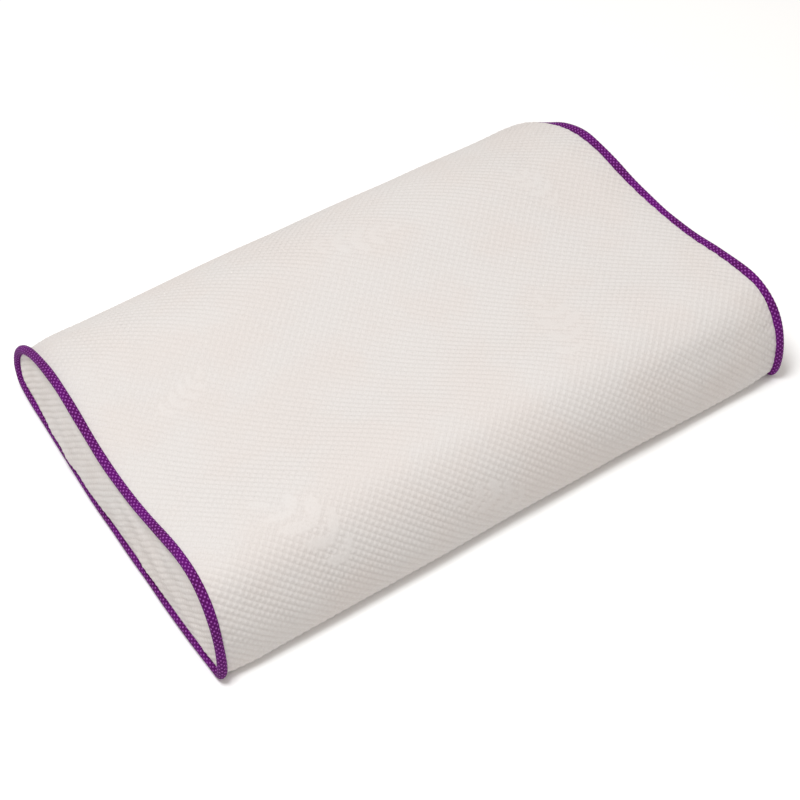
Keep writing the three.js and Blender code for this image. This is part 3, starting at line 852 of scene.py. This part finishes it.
def zip_pull():
    """Pull tab with a slot at its root: one closed surface that runs round the slot's inner edge, over
    the face, round the rim and back under, at each turn about the slot."""
    (middle_x, middle_y, _), (half_x, half_y, half_z) = middle_and_half("zip_pull")
    turn = TURN * np.arange(96)[:, None] / 96
    round_section = TURN * np.arange(20)[None, :] / 20
    slot_x = middle_x - half_x + SLOT_BAR + SLOT / 2
    in_x = slot_x + SLOT / 2 * power(np.cos(turn), 0.4)
    in_z = SLOT_HALF_Z * power(np.sin(turn), 0.4)
    out_x = middle_x + half_x * power(np.cos(turn), 0.35)
    waist = 1 - 0.22 * bell((out_x - middle_x) / half_x, -0.25, 0.35)
    out_z = half_z * waist * power(np.sin(turn), 0.35)
    out_weight = 0.5 - 0.5 * power(np.cos(round_section), 0.5)
    thick = half_y * power(np.sin(round_section), 0.5)
    x = in_x + (out_x - in_x) * out_weight
    z = ZIP_Z + in_z + (out_z - in_z) * out_weight
    y = middle_y + thick + 0 * turn
    return make_solid("pull_tab", np.stack([x, y, z], -1), grid_faces(96, 20, True, True))


def zip_stop(node, name):
    """Small crimped stop: a rounded block."""
    return merged(name, rounded_slab(*middle_and_half(node), 0.3, 0.4, 16, 32))


def topstitch():
    """Two rows of thread along the zip, each stitch a small bent capsule sunk at its ends."""
    shapes = []
    count = int(2 * (ZIP_HALF - 6 * MM) / STITCH_PITCH)
    t = np.linspace(-1, 1, STITCH_POINTS)
    lift = STITCH_RISE * (1 - t**4) - STITCH_SINK
    for row in (-1, 1):
        s = np.array([-row * (ZIP_GAP / 2 + 3.2 * MM)])
        (y, z), (out_y, out_z) = loop_at(LOOP, s)[0], loop_at(FACING, s)[0]
        across = np.tile([0.0, -out_z, out_y], (STITCH_POINTS, 1))
        upward = np.tile([0.0, out_y, out_z], (STITCH_POINTS, 1))
        for k in range(count):
            x = -ZIP_HALF + 6 * MM + STITCH_PITCH * (k + 0.5) + STITCH / 2 * t
            path = np.stack([x, y + lift * out_y, z + lift * out_z], -1)
            stitch = tube(path, across, upward, 0.28 * MM, 0.24 * MM, 6, closed=False)
            shapes.append(capped(*stitch, STITCH_POINTS, 6))
    return merged("zip_topstitch", *shapes)


# ---- label

LABEL_STAND = 7.5 * MM  # how far the label stands out from the seam once it clears the piping
LABEL_TOP = 3.2 * MM  # its top's depth below the seam's line
LABEL_OUT = 1.5 * MM  # its place outside the seam, and how much further its lower edge curls
LABEL_THICK, LABEL_GAP = 0.28 * MM, 0.3 * MM  # of one layer, and between the two
LABEL_WAVE = 0.5 * MM


def care_label():
    """Blank satin label: a strip folded double, carried down from the seam, round its fold and back up,
    as a thin closed ribbon with a slight curl."""
    low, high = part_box("care_label")
    line = SEAM_LINE[RIGHT]
    lower_half = line[:, 1] < NECK_Z / 2
    near = np.argmin(np.where(lower_half, np.inf, np.abs(line[:, 0] - (low.y + high.y) / 2)))
    seam_x, top = SEAM_X + SEAM_BOW[RIGHT][near], line[near, 1] - LABEL_TOP
    drop = np.linspace(0, 1, 40)
    fold = np.linspace(0, np.pi, 13)[1:-1]
    radius = (LABEL_GAP + LABEL_THICK) / 2
    x = np.concatenate([np.full(40, -radius), -radius * np.cos(fold), np.full(40, radius)])
    z = np.concatenate([top - drop * (top - low.z - radius),
                        low.z + radius - radius * np.sin(fold),
                        low.z + radius + drop * (top - low.z - radius)])
    down = (top - z) / (top - low.z)
    curl = LABEL_STAND * (1 - np.exp(-down * 5)) + LABEL_OUT * down**2
    ahead = unit(np.stack([np.gradient(x), np.gradient(z)], -1))
    aside = np.stack([ahead[:, 1], -ahead[:, 0]], -1) * LABEL_THICK / 2
    strip = np.stack([x, z], -1)
    strip = np.concatenate([strip + aside, (strip - aside)[::-1]])
    curls = np.append(curl, curl[::-1])[:, None]
    y = np.linspace(low.y, high.y, 25)[None, :]
    wave = LABEL_WAVE * np.sin(np.pi * (y - low.y) / (high.y - low.y))
    out = seam_x + LABEL_OUT + strip[:, :1] + curls + wave
    return ribbon("blank_label", np.stack(np.broadcast_arrays(out, y, strip[:, 1:]), -1))


# ---- shader tools


def math_node(operation, reflected=False):
    """A method of Value that adds one Math node. A reflected one takes the other value first."""

    def method(self, *others):
        inputs = (*others, self) if reflected else (self, *others)
        return self.shade.make("Math", inputs, operation=operation)

    return method


class Value:
    """A node's output that can be used in arithmetic: each operator adds one Math node."""

    __add__ = __radd__ = math_node("ADD")
    __mul__ = __rmul__ = math_node("MULTIPLY")
    __sub__, __rsub__ = math_node("SUBTRACT"), math_node("SUBTRACT", reflected=True)
    __pow__ = math_node("POWER")
    sine, cosine, size = math_node("SINE"), math_node("COSINE"), math_node("ABSOLUTE")

    def __init__(self, shade, socket):
        self.shade, self.socket = shade, socket

    def step(self, low, high):
        """Smoothstep from 0 at low to 1 at high."""
        inputs = {"Value": self, "From Min": low, "From Max": high}
        return self.shade.make("MapRange", inputs, interpolation_type="SMOOTHSTEP")


class Shade:
    def __init__(self, name, roughness, **fixed):
        self.material = bpy.data.materials.new(name)
        self.material.use_nodes = True
        self.tree = self.material.node_tree
        self.surface = self.tree.nodes["Principled BSDF"]
        self.surface.inputs["Roughness"].default_value = roughness
        for key, value in fixed.items():
            self.surface.inputs[key.replace("_", " ").title().replace("Ior", "IOR")].default_value = value

    def plug(self, socket, value):
        if isinstance(value, Value):
            self.tree.links.new(value.socket, socket)
        else:
            socket.default_value = value

    def make(self, kind, inputs=(), out=0, **settings):
        node = self.tree.nodes.new("ShaderNode" + kind)
        for key, value in settings.items():
            setattr(node, key, value)
        pairs = inputs.items() if isinstance(inputs, dict) else enumerate(inputs)
        for key, value in pairs:
            self.plug(node.inputs[key], value)
        return Value(self, node.outputs[out])

    def axis(self, vector, number):
        """One coordinate of a vector."""
        return self.make("SeparateXYZ", (vector,), number)

    def cloth_plane(self):
        """The piece's own UV map, in metres or cells, as two values."""
        uv = self.make("UVMap", uv_map="cloth")
        return self.axis(uv, 0), self.axis(uv, 1)

    def place(self):
        """The point's place in the object, in metres."""
        return self.make("TexCoord", out="Object")

    def noise(self, scale, detail=2.0, vector=None, roughness=0.5):
        inputs = {"Vector": vector or self.place(), "Scale": scale, "Detail": detail, "Roughness": roughness}
        return self.make("TexNoise", inputs, "Fac")

    def blend(self, first, second, share):
        """Mix of two colours."""
        return self.make("Mix", {0: share, 6: first, 7: second}, 2, data_type="RGBA")

    def finish(self, colour, roughness, height, distance, strength):
        """Plugs a colour, a roughness and a bump of this height. Returns the material."""
        bump = self.make("Bump", {"Height": height, "Distance": distance, "Strength": strength})
        for socket, value in (("Base Color", colour), ("Roughness", roughness), ("Normal", bump)):
            self.plug(self.surface.inputs[socket], value)
        return self.material


def rgb(*values):
    """Linear colour, with alpha, from 0 to 255 display values."""
    share = np.array(values) / 255
    linear = np.where(share <= 0.04045, share / 12.92, ((share + 0.055) / 1.055) ** 2.4)
    return (*linear.tolist(), 1.0)


# ---- materials


def quilted_knit():
    """Off-white jacquard knit: painted shade along the stitched channels, flat leaf motifs and fine knit
    ribs.
    """
    shade = Shade("quilted_knit", 0.9, sheen_weight=0.15, sheen_roughness=0.6, specular_ior_level=0.2)
    u, v = shade.cloth_plane()
    motif = shade.make("Attribute", out="Fac", attribute_name="motif")
    plain = 1 - motif
    first, second = ((way * (np.pi / QUILT_PITCH)).sine().size() for way in (u + v, u - v))
    cells = first**0.8 * second**0.4
    # painted shade: the knit is darkened along the channels, where shade falls between the puffed diamonds
    crease_shade = (1 - cells.step(0.0, 0.6)) * plain
    wales = ((u - v) * (2 * TURN / QUILT_PITCH)).cosine() * first
    knit = shade.noise(1.0, 2.0, shade.make("CombineXYZ", ((u - v) * 700.0, (u + v) * 300.0, 0.0)))
    patchy, fibres = shade.noise(14.0, 3.0), shade.noise(900.0, 3.0)
    pale = shade.blend(rgb(213, 209, 207), rgb(213, 207, 204), patchy.step(0.35, 0.65))
    toned = shade.blend(pale, rgb(170, 160, 150), crease_shade * 0.1 + knit.step(0.4, 0.75) * 0.16)
    colour = shade.blend(toned, rgb(214, 211, 209), motif * 0.12)
    height = cells * 1.3 * (1 - motif * 0.8) + wales * 0.3 * plain + knit * 1.3
    return shade.finish(colour, 0.82 + 0.14 * fibres, height + fibres * 0.4 + motif * 0.9, 0.28 * MM, 0.85)


def mesh_binding():
    """Purple spacer mesh: dark ground with lighter staggered loops and a fine cross thread."""
    shade = Shade("mesh_binding", 0.75, sheen_weight=0.0, specular_ior_level=0.15)
    u, v = shade.cloth_plane()
    raised = ((u * TURN).cosine() * (v * TURN).cosine()).step(0.25, 0.8)
    threads = ((u * (4 * TURN)).sine() * (v * (3 * TURN)).sine()).size()
    ground = shade.blend(rgb(62, 0, 66), rgb(102, 10, 108), threads)
    tinted = shade.blend(ground, rgb(92, 4, 104), shade.noise(40.0).step(0.3, 0.7))
    colour = shade.blend(tinted, rgb(176, 92, 190), raised * 0.7)
    return shade.finish(colour, 0.75 - 0.2 * raised, raised + threads * 0.4, 0.25 * MM, 0.8)


def plain_knit(name, tone, pitch):
    """Plain fine knit or woven cloth in one tone, with ribs of the given pitch."""
    shade = Shade(name, 0.9, sheen_weight=0.2, specular_ior_level=0.2)
    point = shade.place()
    across, up = ((shade.axis(point, number) * (TURN / pitch)).sine() for number in (0, 2))
    ribs, patchy = across * up, shade.noise(30.0)
    colour = shade.blend(rgb(*tone), rgb(*[int(0.9 * t) for t in tone]), ribs * 0.3 + patchy * 0.3)
    return shade.finish(colour, 0.85 + 0.1 * patchy, ribs, 0.1 * MM, 0.6)


def foam():
    """Cream open-cell foam."""
    shade = Shade("slow_foam", 0.95, specular_ior_level=0.15)
    cells = shade.make("TexVoronoi", {"Vector": shade.place(), "Scale": 700.0}, "Distance")
    colour = shade.blend(rgb(236, 226, 196), rgb(214, 200, 164), cells.step(0.5, 0.1))
    return shade.finish(colour, 0.9 + 0.08 * cells, cells, 0.2 * MM, 0.7)


def nylon():
    """White nylon filament, slightly glossy and a little uneven."""
    shade = Shade("coil_nylon", 0.4, specular_ior_level=0.5)
    tone = shade.noise(300.0)
    colour = shade.blend(rgb(238, 236, 232), rgb(222, 219, 214), tone)
    return shade.finish(colour, 0.32 + 0.2 * tone, tone, 0.03 * MM, 0.5)


def nickel():
    """Satin nickel with fine tumbling marks, rubbed brighter in places."""
    shade = Shade("satin_nickel", 0.3, metallic=1.0)
    marks = shade.noise(1500.0, 4.0)
    worn = shade.noise(200.0).step(0.45, 0.7)
    colour = shade.blend(rgb(186, 186, 190), rgb(214, 213, 212), worn)
    return shade.finish(colour, 0.26 + 0.2 * marks - 0.06 * worn, marks, 0.02 * MM, 0.5)


def thread():
    """Twisted white sewing thread."""
    shade = Shade("white_thread", 0.65, sheen_weight=0.2)
    point = shade.place()
    twist = ((shade.axis(point, 0) + shade.axis(point, 2)) * (TURN / (0.5 * MM))).sine()
    colour = shade.blend(rgb(236, 233, 229), rgb(206, 202, 197), twist.step(-0.2, 1.0))
    return shade.finish(colour, 0.6 + 0.1 * twist, twist, 0.05 * MM, 0.7)


def satin():
    """White label satin: fine weft lines with a soft shine."""
    shade = Shade("label_satin", 0.38, sheen_weight=0.1, specular_ior_level=0.55)
    weft = (shade.axis(shade.place(), 2) * (TURN / (0.45 * MM))).sine()
    patchy = shade.noise(60.0)
    colour = shade.blend(rgb(242, 241, 238), rgb(228, 226, 222), weft * 0.2 + patchy * 0.4)
    return shade.finish(colour, 0.34 + 0.12 * patchy, weft, 0.04 * MM, 0.5)


def dress(piece, material):
    """Gives a piece one material."""
    piece.data.materials.clear()
    piece.data.materials.append(material)


# ---- camera, floor and light

CAMERA_AZIMUTH = np.radians(-33.62)
CAMERA_HEIGHT = np.radians(50.55)
CAMERA_PLACE = (-0.6140, -0.9352, 1.3285)
CAMERA_LENS = 81.96
CAMERA_SENSOR = 36
LIGHT_PLACE, LIGHT_SIZE, LIGHT_POWER = (-0.52, -0.04, 2.3), 0.75, 38
LIGHT_COLOUR = (0.96, 0.985, 1.0)
SURROUND_COLOUR, SURROUND_STRENGTH = (1, 0.95, 0.9, 1), 0.605
FLOOR_HALF, FLOOR_DROP, FLOOR_COLOUR = 6, 0.6 * MM, (0.94, 0.94, 0.94, 1)


def camera():
    """Looks down on the pillow's front left corner."""
    data = bpy.data.cameras.new("view")
    data.lens, data.sensor_width = CAMERA_LENS, CAMERA_SENSOR
    data.clip_start, data.clip_end = 0.05, 50
    eye = add_object("view", data)
    flat = np.cos(CAMERA_HEIGHT)
    back = (np.sin(CAMERA_AZIMUTH) * flat, -np.cos(CAMERA_AZIMUTH) * flat, np.sin(CAMERA_HEIGHT))
    right = (np.cos(CAMERA_AZIMUTH), np.sin(CAMERA_AZIMUTH), 0)
    up = np.cross(back, right)
    turned = Matrix([right, up, back]).transposed().to_4x4()
    turned.translation = CAMERA_PLACE
    eye.matrix_world = turned
    bpy.context.scene.camera = eye


def overhead():
    """One soft round light, aimed at the origin."""
    data = bpy.data.lights.new("overhead", "AREA")
    data.shape, data.size, data.energy, data.color = "DISK", LIGHT_SIZE, LIGHT_POWER, LIGHT_COLOUR
    lamp = add_object("overhead", data)
    lamp.location = LIGHT_PLACE
    lamp.rotation_euler = (-Vector(LIGHT_PLACE)).to_track_quat("-Z", "Y").to_euler()


def studio():
    """White floor with a white surround and the light from above."""
    half = FLOOR_HALF
    corners = [(-half, -half), (half, -half), (half, half), (-half, half)]
    floor = make_mesh("floor", [(*corner, -FLOOR_DROP) for corner in corners], np.array([[0, 1, 2, 3]]))
    shade = Shade("white_floor", 0.9, specular_ior_level=0.0)
    shade.plug(shade.surface.inputs["Base Color"], FLOOR_COLOUR)
    dress(floor, shade.material)
    world = bpy.data.worlds.new("surround")
    bpy.context.scene.world = world
    world.use_nodes = True
    for socket, value in (("Color", SURROUND_COLOUR), ("Strength", SURROUND_STRENGTH)):
        world.node_tree.nodes["Background"].inputs[socket].default_value = value
    overhead()
    bpy.context.scene.view_settings.view_transform = "Standard"


# ---- assembly


def place(piece, slot, material, *nodes, body="pillow", fill=None):
    """Dresses a new piece and says what it rides on, which nodes it stands for and its finish. fill, how
    full a padded piece is, is not used."""
    dress(piece, material)
    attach(piece, body)
    if nodes:
        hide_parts(*nodes)


camera()
studio()

KNIT, BINDING, THREAD = quilted_knit(), mesh_binding(), thread()
NICKEL, NYLON = nickel(), nylon()
TAPE = plain_knit("zip_tape_weave", (236, 234, 230), 0.9 * MM)
LINER = plain_knit("liner_knit", (240, 239, 235), 1.2 * MM)
CORD = plain_knit("filler_cord", (236, 233, 226), 1.5 * MM)
FOAM = foam()

place(cover_wrap(), "cover_knit", KNIT, "cover_body", fill=0.9)
for direction, end in ((LEFT, "left"), (RIGHT, "right")):
    place(end_panel(direction, f"end_panel_{end}"), "cover_knit", KNIT, f"cover_end_{end}", fill=0.8)
    place(binding_tube(direction, f"mesh_binding_{end}"), "binding_mesh", BINDING, f"binding_{end}")
    place(filler_cord(direction, f"filler_cord_{end}"), "filler_cord", CORD, f"binding_cord_{end}")
    place(liner_end(direction, f"soft_liner_{end}"), "liner_knit", LINER, f"liner_end_{end}", fill=0.95)

for direction, half in ((1, "upper"), (-1, "lower")):
    tape, coil, stop = (f"zip_{kind}_{half}" for kind in ("tape", "coil", "stop"))
    place(zip_tape(tape, f"woven_tape_{half}"), "zip_tape", TAPE, tape)
    place(zip_coil(coil, f"nylon_coil_{half}", direction), "zip_coil", NYLON, coil)
    place(zip_stop(stop, f"crimped_stop_{half}"), "zip_metal", NICKEL, stop)
place(zip_stop("zip_stop_end", "crimped_stop_end"), "zip_metal", NICKEL, "zip_stop_end")
place(zip_slider(), "zip_metal", NICKEL, "zip_slider", body="slider")
place(zip_pull(), "zip_metal", NICKEL, "zip_pull", body="pull")
place(topstitch(), "zip_tape", THREAD)
place(care_label(), "label_satin", satin(), "care_label")
place(liner_sleeve(), "liner_knit", LINER, "liner_sleeve", fill=0.95)
place(foam_block(), "foam", FOAM, "foam_core", fill=0.95)
